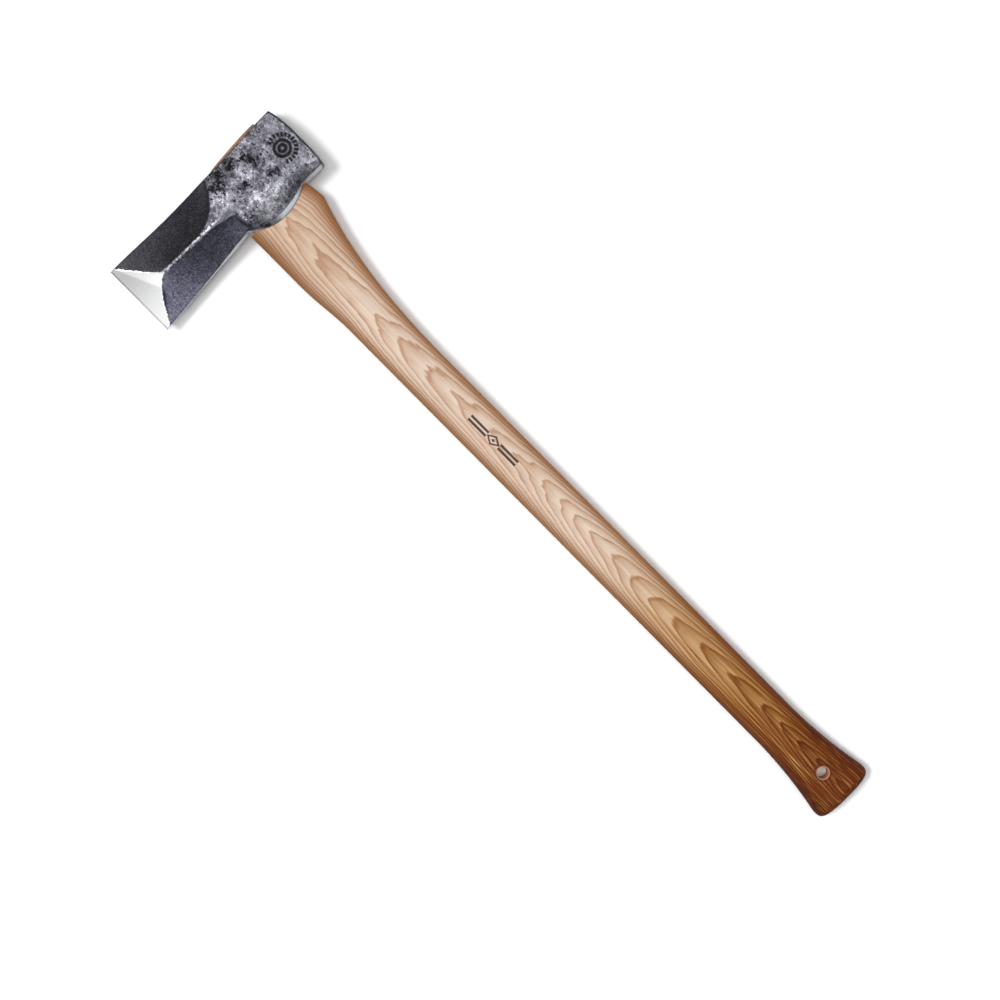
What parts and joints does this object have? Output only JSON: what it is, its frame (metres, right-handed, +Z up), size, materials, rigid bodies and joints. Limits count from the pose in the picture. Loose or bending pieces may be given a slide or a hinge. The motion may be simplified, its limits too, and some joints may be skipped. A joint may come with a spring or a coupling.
{
  "type": "splitting maul",
  "caption": "Splitting maul lying on its cheek: forged steel head with a hollow-sided bit, ground bevels and a hammer poll, wedged on a straight ash handle with a flared knob.",
  "frame": {"origin": "centre of the footprint, on the surface that the maul lies on", "axes": "+X along the handle from the head to the knob, +Y from the cutting edge to the poll, +Z up through the thickness of the head"},
  "size_m": [0.8001, 0.204, 0.0488],
  "materials": {
    "forged_steel": "hammer-forged, dark scale in the hollows, worn bright on the cheeks and ridge, ground bevels",
    "ash_wood": "sanded ash with cathedral grain, oiled, browned towards the knob",
    "wedge_wood": "plain hardwood, end grain",
    "ring_steel": "plain steel ring, dulled"
  },
  "bodies": {
    "root": {"head": "forged_steel", "handle": "ash_wood", "kerf_wedge": "wedge_wood", "ring_wedge": "ring_steel"}
  },
  "joints": []
}
